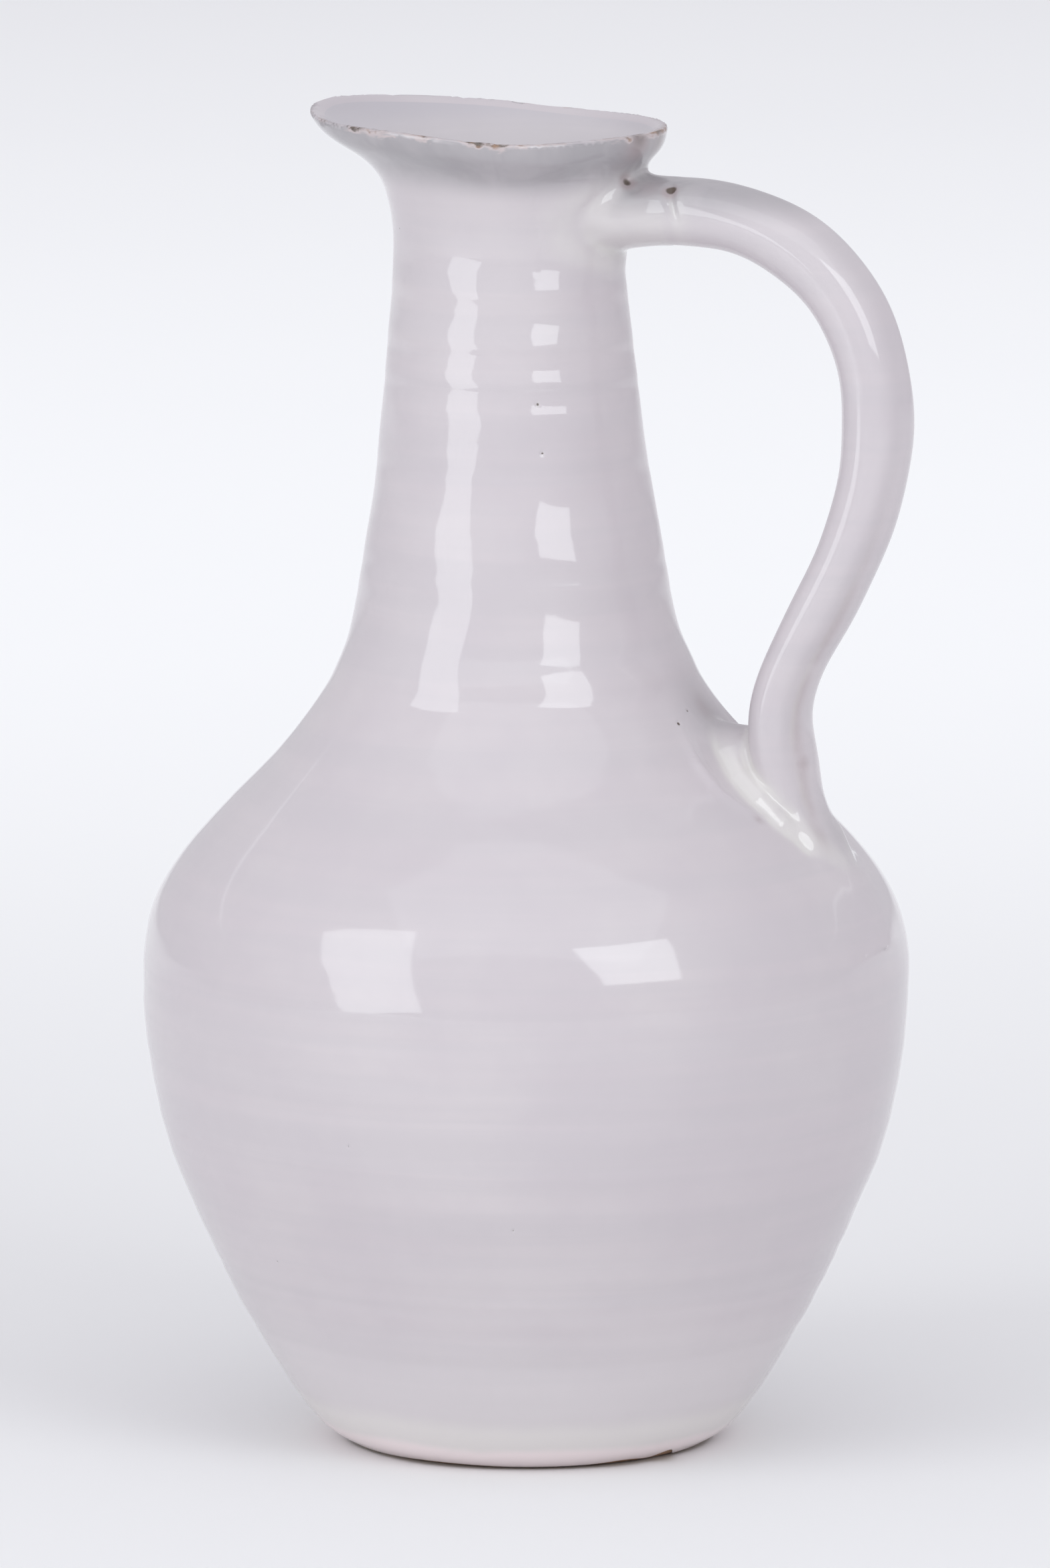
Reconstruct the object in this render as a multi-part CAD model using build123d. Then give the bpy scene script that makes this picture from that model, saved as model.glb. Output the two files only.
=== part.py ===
from build123d import *
import os
from math import cos, radians, sin

# A hand-thrown stoneware pitcher with a pulled strap handle, in millimetres.
# Z is up and the foot rests on Z = 0, centred on the origin. The handle is towards +X and
# the lip is drawn out for pouring towards -X. The two sides are alike about the XZ plane.

# Driving dimensions
GLAZE = 0.5               # thickness of the fired glass layer
WALL = 4.6                # clay wall between the two glaze layers
LUTING_HEIGHT = 224.0     # the neck is luted onto the shoulder at this height
LIP_HEIGHT = 346.4        # middle of the lip
LIP_TILT = 3.4            # degrees, higher at the pouring side
LIP_THICKNESS = 3.2       # glazed wall at the lip
THINNING_START = 322.0    # the wall thins towards the lip from this height
LIP_ROUNDING = 0.8        # of the clay; the glaze over it is rounder
FLOOR_HEIGHT = 12.0       # clay floor inside the belly
FOOT_RING_INNER = 36.0    # radius of the recess turned under the foot
FOOT_RECESS = 3.0
BARE_FOOT_HEIGHT = 4.0    # the outer glaze stops above the resting edge

STRAP_THICKNESS = 17.2    # glazed strap, across its thin side
STRAP_WIDTH = 23.2        # glazed strap, across its wide side
WAD_END = 40.0            # distance from the axis where the strap leaves its wad
COIL_RADIUS = 4.6         # glazed coil of clay worked round the strap's lower end
COIL_LENGTH = 44.0
COIL_WIDTH = 25.0
COIL_CENTRE = (71.5, 0.0, 172.0)
SHOULDER_SLOPE = 50.2     # degrees below level, where the coil lies

# Outline of the glazed outside, as radius and height.
BODY_OUTLINE = [
    (46.0, 0.0),
    (52.6, 3.5),
    (57.9, 9.0),
    (64.1, 18.0),
    (78.7, 45.0),
    (91.8, 75.0),
    (98.2, 100.0),
    (100.0, 120.0),
    (98.1, 138.0),
    (91.9, 150.0),
    (79.2, 165.0),
    (64.4, 180.0),
    (52.0, 195.0),
    (44.4, 209.0),
    (40.6, LUTING_HEIGHT),
]
NECK_OUTLINE = [
    (40.6, LUTING_HEIGHT),
    (37.3, 245.0),
    (34.0, 270.0),
    (31.6, 292.0),
    (30.2, 312.0),
    (31.4, 323.0),
    (33.6, 331.0),
    (38.0, 336.8),
    (43.6, 341.0),
    (46.2, 345.5),
    (47.0, 352.0),
]

# Middle line of the strap in the XZ plane, from its wad to inside the shoulder.
STRAP_LINE = [
    (WAD_END - 4.0, 324.6),
    (56.0, 323.6),
    (73.0, 317.2),
    (88.5, 302.0),
    (96.2, 276.0),
    (92.2, 247.2),
    (79.6, 219.5),
    (70.6, 196.5),
    (72.5, 176.0),
    (79.5, 148.0),
]

# Ovals of the wad, from inside the neck to the strap: distance, height, half width, half height.
WAD_OVALS = [
    (18.0, 324.0, 16.5, 15.0),
    (29.0, 323.8, 15.0, 13.0),
    (WAD_END, 324.5, 12.2, 9.4),
]

# Drift of the thrown walls towards the pouring side: how much, from which height to which.
DRIFT_STEPS = [
    (0.7, 0.0, 60.0),
    (3.3, 140.0, 225.0),
    (1.2, 225.0, 310.0),
    (5.9, 328.0, 348.0),
]
TILT_START = 312.0        # the sections start to tip here
TILT_END = 345.0          # and have the lip's full tilt here

SECTIONS = 24             # round sections through which each thrown part is lofted
BLOCK = 800.0             # larger than the whole vessel


def ramp(value, low, high):
    """Rises smoothly from 0 at low to 1 at high."""
    t = min(max((value - low) / (high - low), 0.0), 1.0)
    return t * t * (3.0 - 2.0 * t)


def drift(height):
    """How far the walls' centre has wandered towards the pouring side at a height."""
    return sum(amount * ramp(height, low, high) for amount, low, high in DRIFT_STEPS)


def level(height):
    """The plane of a thrown section, which tips back from the handle towards the lip."""
    tilt = radians(LIP_TILT) * ramp(height, TILT_START, TILT_END)
    across = (cos(tilt), 0, -sin(tilt))
    upright = (sin(tilt), 0, cos(tilt))
    return Plane(origin=(-drift(height), 0, height), x_dir=across, z_dir=upright)


def thrown(outline, depth, lip_depth=None):
    """A filled solid inside an outline, at a depth below its surface that may change to the lip's."""
    if lip_depth is None:
        lip_depth = depth
    curve = Spline(*outline)
    circles = []
    for i in range(SECTIONS + 1):
        point = curve @ (i / SECTIONS)
        along = curve % (i / SECTIONS)
        at_end = i in (0, SECTIONS)
        here = depth + (lip_depth - depth) * ramp(point.Y, THINNING_START, LIP_HEIGHT)
        height = point.Y if at_end else point.Y + here * along.X
        circles.append(level(height) * Circle(point.X - here * along.Y))
    return loft(circles)


def below_lip(depth):
    """Everything below the lip's plane."""
    return level(LIP_HEIGHT - depth) * Pos(0, 0, -BLOCK / 2) * Box(BLOCK, BLOCK, BLOCK)


def above(height):
    """Everything above a height."""
    return Pos(0, 0, height + BLOCK / 2) * Box(BLOCK, BLOCK, BLOCK)


def past_wad():
    """Everything on the strap's side of the wad's end."""
    return Pos(WAD_END + BLOCK / 2, 0, 0) * Box(BLOCK, BLOCK, BLOCK)


def strap(depth):
    """The pulled handle: an oval strap swept along its middle line."""
    line = Spline(*[(x, 0, z) for x, z in STRAP_LINE])
    start = Plane(origin=line @ 0, x_dir=(0, 1, 0), z_dir=line % 0)
    oval = start * Ellipse(STRAP_WIDTH / 2 - depth, STRAP_THICKNESS / 2 - depth)
    return sweep(oval, path=line) & past_wad()


def wad(depth):
    """The lump of clay between the neck and the strap."""
    ovals = []
    for x, z, half_width, half_height in WAD_OVALS:
        plane = Plane(origin=(x, 0, z), x_dir=(0, 1, 0), z_dir=(1, 0, 0))
        ovals.append(plane * Ellipse(half_width - depth, half_height - depth))
    return loft(ovals)


def coil(depth):
    """The ring of clay on the shoulder round the strap's lower end."""
    slope = radians(SHOULDER_SLOPE)
    bed = Plane(origin=COIL_CENTRE, x_dir=(cos(slope), 0, -sin(slope)), z_dir=(sin(slope), 0, cos(slope)))
    path = (bed * Ellipse(COIL_LENGTH / 2, COIL_WIDTH / 2)).edge()
    start = Plane(origin=path @ 0, z_dir=path % 0)
    return sweep(start * Circle(COIL_RADIUS - depth), path=path)


def rounded_lip(wall, radius):
    """Rounds the outer and the inner edge of a wall's lip."""
    return fillet(wall.faces().sort_by(Axis.Z)[-1].edges(), radius)


def save(shape, node):
    export_step(shape, f"parts/{node}.step")


os.makedirs("parts", exist_ok=True)

# Thrown walls in bare clay.
clay_depth = GLAZE + WALL
clay_belly = thrown(BODY_OUTLINE, GLAZE)
clay_neck = thrown(NECK_OUTLINE, GLAZE) & below_lip(GLAZE)
belly_hollow = thrown(BODY_OUTLINE, clay_depth) & above(FLOOR_HEIGHT)
recess = Pos(0, 0, FOOT_RECESS / 2) * Cylinder(FOOT_RING_INNER, FOOT_RECESS)
body = clay_belly - belly_hollow - recess
neck_hollow = thrown(NECK_OUTLINE, clay_depth, LIP_THICKNESS - GLAZE)
neck = rounded_lip(clay_neck - neck_hollow, LIP_ROUNDING)

# Handle and its joints, cut to meet the thrown walls and each other face to face.
clay_strap = strap(GLAZE)
clay_wad = wad(GLAZE)
clay_coil = coil(GLAZE)
handle = clay_strap - clay_belly - clay_neck
upper_handle_wad = clay_wad - clay_neck
lower_handle_coil = clay_coil - clay_belly - clay_strap

# Glaze over the neck, parted into outside and inside along the middle of the lip.
glazed_neck = thrown(NECK_OUTLINE, 0.0) & below_lip(0.0)
neck_space = thrown(NECK_OUTLINE, clay_depth + GLAZE, LIP_THICKNESS)
glazed_neck_wall = rounded_lip(glazed_neck - neck_space, LIP_ROUNDING + GLAZE)
neck_coat = glazed_neck_wall - neck
middle_of_wall = thrown(NECK_OUTLINE, GLAZE + WALL / 2, LIP_THICKNESS / 2)

# Glaze outside: one skin over belly, neck, strap, wad and coil.
belly_coat = (thrown(BODY_OUTLINE, 0.0) - clay_belly) & above(BARE_FOOT_HEIGHT)
fittings_coat = (strap(0.0) + wad(0.0) + coil(0.0)) - clay_belly - clay_neck
outer_glaze = belly_coat + (neck_coat - middle_of_wall) + fittings_coat
for clay in (clay_strap, clay_wad, clay_coil):
    outer_glaze = outer_glaze - clay

# Glaze inside: from the floor up to the middle of the lip.
belly_space = thrown(BODY_OUTLINE, clay_depth + GLAZE) & above(FLOOR_HEIGHT + GLAZE)
liner_glaze = (belly_hollow - belly_space) + (neck_coat & middle_of_wall)

nodes = {
    "body": body,
    "neck": neck,
    "handle": handle,
    "upper_handle_wad": upper_handle_wad,
    "lower_handle_coil": lower_handle_coil,
    "outer_glaze": outer_glaze,
    "liner_glaze": liner_glaze,
}
for node, shape in nodes.items():
    save(shape, node)
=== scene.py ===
"""Hand-thrown glazed pitcher: fired clay pieces under an outer glaze and a liner glaze.

Lengths in the shape code are in millimetres, in the CAD frame: Z up, foot on Z = 0, handle
towards +X, pouring lip towards -X. Meshes are made in metres.
"""
import math

import bmesh
import bpy
import numpy as np
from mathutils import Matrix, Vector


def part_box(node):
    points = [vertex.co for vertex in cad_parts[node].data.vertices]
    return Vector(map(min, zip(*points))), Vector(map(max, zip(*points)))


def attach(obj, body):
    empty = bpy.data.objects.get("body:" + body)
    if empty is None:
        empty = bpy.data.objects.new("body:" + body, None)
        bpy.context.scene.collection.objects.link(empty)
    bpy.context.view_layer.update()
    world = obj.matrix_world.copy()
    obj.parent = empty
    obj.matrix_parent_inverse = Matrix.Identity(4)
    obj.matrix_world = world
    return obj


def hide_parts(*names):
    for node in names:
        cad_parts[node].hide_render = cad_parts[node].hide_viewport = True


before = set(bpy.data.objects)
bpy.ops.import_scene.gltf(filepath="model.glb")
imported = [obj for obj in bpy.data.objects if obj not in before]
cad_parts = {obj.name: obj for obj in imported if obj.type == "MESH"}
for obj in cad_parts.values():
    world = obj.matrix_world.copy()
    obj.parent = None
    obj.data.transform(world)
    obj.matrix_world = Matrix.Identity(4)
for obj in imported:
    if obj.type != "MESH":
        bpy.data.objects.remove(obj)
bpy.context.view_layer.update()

import openvdb
from mathutils import Quaternion, Vector

MM = 0.001
ROOT = "root"

# ---------------------------------------------------------------- sizes
LUTING_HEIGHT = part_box("neck")[0].z / MM
FOOT_RADIUS = 46.0
LIP_HEIGHT = 346.8
GLAZE = 0.5
WALL = 4.6
LIP_THICKNESS = 3.2       # of the glazed wall at the lip
THINNING_START = 322.0    # the wall thins towards the lip from here
OUTER_LIP_ROUNDING = 1.1
INNER_LIP_ROUNDING = 2.6
FLOOR_HEIGHT = 12.0
FLOOR_ROUNDING = 12.0     # inside, where the wall meets the floor
FOOT_ROUNDING = 1.2
FOOT_RECESS_RADIUS = 36.0
FOOT_RECESS_DEPTH = 3.0
RECESS_ROUNDING = 1.5
RECESS_EDGE_ROUNDING = 2.0
CELL = 1.35      # spacing of the mesh's points
CLAY_CELL = 2.4

# Glazed outline of the thrown wall, as radius and height.
OUTLINE = [
    (FOOT_RADIUS, 0.0),
    (52.6, 3.5),
    (57.8, 9.0),
    (63.9, 18.0),
    (78.9, 45.0),
    (85.9, 60.0),
    (91.9, 75.0),
    (98.1, 100.0),
    (99.9, 120.0),
    (98.2, 138.0),
    (92.2, 150.0),
    (79.4, 165.0),
    (64.2, 180.0),
    (51.9, 195.0),
    (44.1, 209.0),
    (40.6, LUTING_HEIGHT),
    (37.1, 245.0),
    (33.7, 270.0),
    (31.5, 292.0),
    (30.1, 311.0),
    (31.0, 323.0),
    (33.6, 331.0),
    (38.0, 336.8),
    (43.6, 341.0),
    (46.2, 345.5),
    (47.0, 352.0),
]

# Drift of the walls' centre towards the lip: how much, from which height to which.
DRIFT_STEPS = [
    (0.7, 0.0, 60.0),
    (3.3, 140.0, 225.0),
    (1.2, 225.0, 310.0),
    (5.9, 328.0, 348.0),
]

# The lip's height round the mouth: how much each wave lifts it, its count and its phase.
WAVE_HEIGHTS = (318.0, 344.0)       # the waves grow from none to full between these
LIP_WAVES = [
    (2.25, 1, math.radians(-161)),
    (0.7, 2, math.radians(4)),
    (0.3, 3, math.radians(71)),
    (0.2, 4, math.radians(-45)),
    (0.25, 5, math.radians(-155)),
]

# Finger marks of the throwing: height, drop in radius over the mark, and half its height.
THROWING_STEPS = [
    (309.0, 1.30, 4.6),
    (294.0, 1.10, 3.8),
    (283.0, 0.65, 2.2),
    (273.5, 0.60, 3.2),
    (243.5, 2.40, 7.5),
    (216.0, 0.80, 3.4),
    (209.0, 1.30, 2.4),
    (202.5, -2.10, 2.8),
    (176.0, 0.30, 4.0),
    (160.0, 0.30, 4.0),
    (131.0, 0.45, 3.5),
    (118.0, 0.50, 3.5),
    (108.0, 0.45, 3.0),
    (98.0, 0.50, 3.0),
    (88.0, 0.50, 3.0),
    (78.5, 0.50, 3.0),
    (60.0, 0.55, 3.5),
    (49.5, 0.70, 2.4),
    (38.0, 0.55, 3.0),
    (26.0, 0.55, 3.0),
    (17.0, 0.40, 2.5),
]
STEP_SPREAD = 18.0        # the wall recovers from its steps over this height
RIDGE_HEIGHTS = (14.0, 318.0)       # fine ridges between the steps, from here to here

# Soft grooves left by the fingertips: height, depth and half width.
GROOVES = [
    (300.8, 0.07, 2.2),
    (288.0, 0.10, 1.9),
    (278.8, 0.12, 1.9),
    (257.0, 0.08, 2.4),
    (231.5, 0.10, 2.2),
    (222.8, 0.08, 2.0),
    (47.0, 0.20, 1.9),
    (31.0, 0.16, 2.0),
]

# Middle line of the strap in the XZ plane, from inside its wad to inside the shoulder.
STRAP_LINE = [
    (20.0, 324.2),
    (36.0, 324.6),
    (56.0, 323.6),
    (73.0, 317.2),
    (88.5, 302.0),
    (96.2, 276.0),
    (92.2, 247.2),
    (79.6, 219.5),
    (70.2, 196.5),
    (72.2, 176.0),
    (81.0, 148.0),
]
STRAP_HALF_THICKNESS = 8.6
STRAP_HALF_WIDTH = 11.6
STRAP_ROUNDNESS = 2.3     # 2 makes the strap's section an ellipse, more makes it squarer
WAD_START = 8.0           # inside the neck's wall
WAD_END = 40.0
WAD_END_ROUNDING = 3.0
WAD_HEIGHT = 324.0
WAD_HALF_WIDTH = 16.6     # at the neck
WAD_NARROWING = 5.2       # less half width at the strap
WAD_HALF_HEIGHT = 10.6
WAD_LOWERING = 1.9        # less half height at the strap
WAD_FILLET = 7.0
COIL_FILLET = 4.0
CREASE_HALF_WIDTH = 1.1

# Ridge of clay along each side of the strap's foot: X, distance from the XZ plane, Z, radius.
COIL_POINTS = [
    (53.8, 0.0, 188.4, 2.3),
    (57.9, 7.3, 184.3, 2.8),
    (62.3, 10.7, 178.9, 3.0),
    (67.9, 11.8, 173.6, 3.0),
    (73.9, 11.8, 167.7, 2.8),
    (80.1, 8.8, 161.8, 2.2),
    (85.5, 2.8, 156.1, 1.2),
]
# Web of clay that closes the corner between the strap's inner face and the shoulder.
WEB_POINTS = [
    (46.0, 0.0, 184.0, 7.6),
    (66.0, 0.0, 182.5, 8.6),
]
# Faint second fold outside the ridge: X, distance from the XZ plane, Z, height of the fold.
FOLD_POINTS = [
    (48.0, 16.6, 193.0, 0.2),
    (55.0, 20.7, 184.0, 0.7),
    (61.0, 22.5, 176.5, 0.8),
    (70.0, 18.6, 170.0, 0.3),
]

# Small pits in the glaze: angle round the vessel in degrees, height, radius.
WALL_PITS = [
    (-57.7, 276.6, 0.65),
    (-56.4, 264.0, 0.55),
    (-18.0, 193.4, 0.7),
    (-10.4, 195.8, 0.55),
    (-98.0, 92.0, 0.4),
    (-72.0, 71.0, 0.4),
    (-120.0, 56.0, 0.35),
    (140.0, 120.0, 0.5),
    (60.0, 232.0, 0.5),
]
# Burst bubbles and dents at the strap's root: X, Y, Z, radius, depth, brownness inside.
ROOT_PITS = [
    (30.4, -8.2, 333.0, 1.7, 0.50, 0.9),
    (32.8, -10.0, 331.6, 1.3, 0.80, 0.0),
    (42.5, -8.6, 331.4, 2.0, 0.35, 1.0),
    (24.4, -17.2, 319.3, 2.2, 0.45, 0.15),
]
# Crease where the strap's end was pressed onto the wad: X, Y, Z, depth.
CREASE_POINTS = [
    (41.6, 7.0, 332.8, 0.30),
    (42.9, 10.0, 330.4, 0.70),
    (43.7, 11.8, 327.6, 0.75),
    (45.0, 12.2, 323.8, 0.25),
]

# Brownish stains, and one patch of painted shade above the notch at the strap's foot: X, Y, Z,
# radius, strength.
STAINS_AND_SHADE = [
    (30.6, -8.4, 332.8, 2.4, 0.9),
    (36.5, -9.4, 332.8, 5.0, 0.35),
    (42.4, -9.4, 331.2, 2.4, 0.9),
    (24.4, -17.2, 319.3, 2.6, 0.45),
    # Painted shade above the notch between the strap's foot and the shoulder.
    (49.0, -1.0, 196.0, 5.0, 0.35),
    (70.5, -19.6, 170.3, 1.8, 0.5),
    (77.8, -6.0, 183.0, 3.0, 0.5),
    (79.0, -6.1, 175.5, 2.6, 0.4),
    (33.6, -9.6, 343.8, 6.0, 0.75),
    (35.0, 4.0, 342.5, 7.0, 0.55),
]


# ---------------------------------------------------------------- curves and blends
def ramp(value, low, high):
    """Rises smoothly from 0 at low to 1 at high."""
    t = np.clip((value - low) / (high - low), 0.0, 1.0)
    return t * t * (3.0 - 2.0 * t)


def bell(value, middle, half_width):
    """Rises to 1 at the middle and falls off smoothly on both sides."""
    return np.exp(-((value - middle) / half_width) ** 2)


def smooth_path(points, count):
    """Points evenly along a natural cubic spline through the given ones."""
    points = np.array(points, float)
    knots = np.concatenate([[0.0], np.cumsum(np.linalg.norm(np.diff(points, axis=0), axis=1))])
    gaps = np.diff(knots)
    size = len(knots)
    system = np.eye(size)
    right = np.zeros_like(points)
    for i in range(1, size - 1):
        system[i, i - 1:i + 2] = gaps[i - 1], 2 * (gaps[i - 1] + gaps[i]), gaps[i]
        slopes = np.diff(points[i - 1:i + 2], axis=0) / gaps[i - 1:i + 1, None]
        right[i] = 6 * (slopes[1] - slopes[0])
    bend = np.linalg.solve(system, right)
    at = np.linspace(0.0, knots[-1], count)
    i = np.clip(np.searchsorted(knots, at) - 1, 0, size - 2)
    gap = gaps[i][:, None]
    before = (knots[i + 1] - at)[:, None]
    after = (at - knots[i])[:, None]
    curve = (bend[i] * before ** 3 + bend[i + 1] * after ** 3) / (6 * gap)
    curve += (points[i] / gap - bend[i] * gap / 6) * before
    return curve + (points[i + 1] / gap - bend[i + 1] * gap / 6) * after


def blurred(values, spacing, spread):
    """A table of values, smoothed by a bell curve."""
    reach = int(4 * spread / spacing)
    weights = np.exp(-0.5 * (np.arange(-reach, reach + 1) * spacing / spread) ** 2)
    padded = np.pad(values, reach, mode="edge")
    return np.convolve(padded, weights / weights.sum(), mode="valid")


def blend_union(a, b, reach):
    """Union of two solids with a fillet about as wide as reach."""
    overlap = np.maximum(reach - np.abs(a - b), 0.0) / reach
    return np.minimum(a, b) - overlap ** 3 * reach / 6.0


def blend_cut(a, b, reach):
    """The part of a that is outside b, with a rounded edge."""
    return -blend_union(-a, b, reach)


def rounded_corner(a, b, radius):
    """Intersection of two solids with a round edge."""
    inner = np.minimum(np.maximum(a, b), -radius)
    return inner + np.hypot(np.maximum(a + radius, 0.0), np.maximum(b + radius, 0.0))


# ---------------------------------------------------------------- tables of the thrown wall
TABLE_STEP = 0.05
TABLE_SMOOTHING = 1.2
OUTLINE_SAMPLES = 9000
STRAP_SAMPLES = 4000
heights = np.arange(-20.0, 380.0, TABLE_STEP)


def table_of(curve):
    """Radius at each of the table's heights."""
    return np.interp(heights, curve[:, 1], curve[:, 0])


outline_curve = smooth_path(OUTLINE, OUTLINE_SAMPLES)
direction = np.gradient(outline_curve, axis=0)
direction /= np.linalg.norm(direction, axis=1)[:, None]
inward = np.stack([-direction[:, 1], direction[:, 0]], axis=1)

steps = sum(-drop / 2 * np.tanh((heights - height) / half) for height, drop, half in THROWING_STEPS)
rings = steps - blurred(steps, TABLE_STEP, STEP_SPREAD)
rng = np.random.default_rng(11)
ridge_height, last_ridge = RIDGE_HEIGHTS
while ridge_height < last_ridge:
    rings = rings + rng.uniform(0.015, 0.05) * bell(heights, ridge_height, rng.uniform(1.2, 2.0))
    ridge_height += rng.uniform(4.5, 8.5)
outer_radius = blurred(table_of(outline_curve), TABLE_STEP, TABLE_SMOOTHING)
thinning = ramp(outline_curve[:, 1:], THINNING_START, LIP_HEIGHT)
thickness = (GLAZE + WALL + GLAZE) * (1.0 - thinning) + LIP_THICKNESS * thinning
inner_curve = outline_curve + inward * thickness
inner_radius = blurred(table_of(inner_curve), TABLE_STEP, TABLE_SMOOTHING)


def slope_scale(radii):
    """Turns a difference in radius into a distance square to the wall."""
    return 1.0 / np.hypot(1.0, np.gradient(radii, TABLE_STEP))


outer_scale = slope_scale(outer_radius)
inner_scale = slope_scale(inner_radius)


def read(table, height):
    """A table's value at any height."""
    return np.interp(height, heights, table)


# ---------------------------------------------------------------- shape of the pitcher
def drift(height):
    """How far the walls' centre has wandered towards the lip at a height."""
    return sum(amount * ramp(height, low, high) for amount, low, high in DRIFT_STEPS)


def wall_frame(p):
    """Height, distance from the wall's own axis and angle, with the lip's waves taken out."""
    angle = np.arctan2(p[:, 1], p[:, 0] + drift(p[:, 2]))
    lift = sum(amount * np.cos(count * angle - phase) for amount, count, phase in LIP_WAVES)
    height = p[:, 2] - lift * ramp(p[:, 2], *WAVE_HEIGHTS)
    across = p[:, 0] + drift(height)
    return height, np.hypot(across, p[:, 1]), np.arctan2(p[:, 1], across)


def hand_marks(height, angle):
    """How the wall departs from its outline: throwing rings, grooves and uneven turning."""
    wander = 0.9 * np.sin(angle + height / 41.0) + 0.5 * np.sin(2 * angle - height / 23.0)
    fade = ramp(height, 8.0, 20.0) * (1.0 - ramp(height, 318.0, 330.0))
    marks = read(rings, height + wander) * (0.85 + 0.3 * np.sin(angle + height / 30.0))
    marks = marks * (1.0 + 0.9 * ramp(height, 262.0, 275.0) * bell(angle, -1.0, 0.7))
    marks = marks * (1.0 - 0.75 * ramp(height, 160.0, 215.0) * np.cos(angle - 0.35) ** 4)
    for middle, depth, half in GROOVES:
        marks = marks - depth * bell(height + wander, middle, half)
    uneven = 0.10 * np.sin(5 * angle + height / 9.0) * np.sin(height / 7.0 + 2 * angle)
    uneven = uneven + 0.07 * np.sin(9 * angle - height / 6.3)
    oval = 0.35 * np.cos(2 * angle + 0.6) + 0.2 * np.cos(3 * angle - 1.1)
    return fade * (marks + uneven) + oval * ramp(height, 20.0, 60.0)


def outside(p, depth):
    """Distance outside the thrown wall's outer surface, inset by depth."""
    height, across, angle = wall_frame(p)
    radius = read(outer_radius, height) + hand_marks(height, angle)
    return (across - radius) * read(outer_scale, height) + depth


def hollow(p, depth):
    """Distance outside the space in the vessel, made wider by depth."""
    height, across, angle = wall_frame(p)
    radius = read(inner_radius, height) + 0.5 * hand_marks(height, angle)
    wall = (across - radius) * read(inner_scale, height)
    return rounded_corner(wall, FLOOR_HEIGHT + GLAZE - p[:, 2], FLOOR_ROUNDING) - depth


def vessel(p, depth):
    """The hollow vessel with its lip and foot, inset by depth everywhere but at the foot."""
    height, across, _ = wall_frame(p)
    top = height - LIP_HEIGHT + depth
    solid = rounded_corner(outside(p, depth), top, OUTER_LIP_ROUNDING)
    solid = rounded_corner(solid, -hollow(p, depth), INNER_LIP_ROUNDING)
    solid = rounded_corner(solid, -p[:, 2], FOOT_ROUNDING)
    in_recess = across - FOOT_RECESS_RADIUS
    recess = rounded_corner(in_recess, p[:, 2] - FOOT_RECESS_DEPTH, RECESS_ROUNDING)
    return blend_cut(solid, recess, RECESS_EDGE_ROUNDING)


strap_curve = smooth_path(STRAP_LINE, STRAP_SAMPLES)
strap_along = np.gradient(strap_curve, axis=0)
strap_bend = np.gradient(strap_along, axis=0)
strap_places = np.arange(len(strap_curve), dtype=float)
strap_guides = np.linspace(0, len(strap_curve) - 1, 60).astype(int)


def along_strap(table, place):
    """A table's pair of values at places along the strap."""
    return np.stack([np.interp(place, strap_places, table[:, i]) for i in (0, 1)], axis=1)


def strap_frame(p):
    """Nearest place along the strap, 0 to 1, and the offset from its middle line there."""
    flat = p[:, [0, 2]]
    gaps = ((flat[:, None, :] - strap_curve[strap_guides][None]) ** 2).sum(axis=2)
    place = strap_guides[gaps.argmin(axis=1)].astype(float)
    for _ in range(4):
        along = along_strap(strap_along, place)
        bend = along_strap(strap_bend, place)
        gap = flat - along_strap(strap_curve, place)
        slack = (along ** 2).sum(axis=1) - (gap * bend).sum(axis=1)
        move = (gap * along).sum(axis=1) / np.maximum(slack, 0.2 * (along ** 2).sum(axis=1))
        place = np.clip(place + move, 0, len(strap_curve) - 1)
    length = np.hypot(along[:, 0], along[:, 1])
    out = (-gap[:, 0] * along[:, 1] + gap[:, 1] * along[:, 0]) / length
    return place / (len(strap_curve) - 1), out


def strap(p, depth):
    """The pulled strap: a flattened oval with a lengthwise groove on each shoulder of its back."""
    place, out = strap_frame(p)
    thick = STRAP_HALF_THICKNESS * (1.03 - 0.15 * ramp(place, 0.45, 0.75))
    thick = thick * (1.0 + 0.015 * np.sin(place * 31.0) + 0.012 * np.sin(place * 57.0 + 1.0))
    wide = STRAP_HALF_WIDTH * (1.0 + 0.04 * np.sin(place * 9.0 + 0.5))
    wide = wide * (1.0 - 0.16 * ramp(place, 0.84, 0.97))
    wide = wide * (1.0 + 0.08 * out / STRAP_HALF_THICKNESS * np.cos(place * 4.0))
    side = np.abs(p[:, 1]) / wide
    rise = np.abs(out) / thick
    power = STRAP_ROUNDNESS
    size = (side ** power + rise ** power + 1e-9) ** (1.0 / power)
    steep = np.hypot((side / size) ** (power - 1) / wide, (rise / size) ** (power - 1) / thick)
    round_section = np.arctan2(out / thick, -p[:, 1] / wide)
    low_half = ramp(place, 0.30, 0.62)
    near_groove = (0.25 + 0.75 * low_half) * bell(round_section, 1.35 - 0.45 * low_half, 0.30)
    far_groove = 0.35 * bell(round_section, 2.1, 0.30)
    inner_flat = 0.4 * bell(round_section, -math.pi / 2, 0.45)
    ends = np.maximum(0.02 - place, place - 0.995) * 400.0      # closes the strap inside the clay
    oval = (size - 1.0) / np.maximum(steep, 0.02) + near_groove + far_groove + inner_flat
    return np.maximum(oval, ends) + depth


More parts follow.
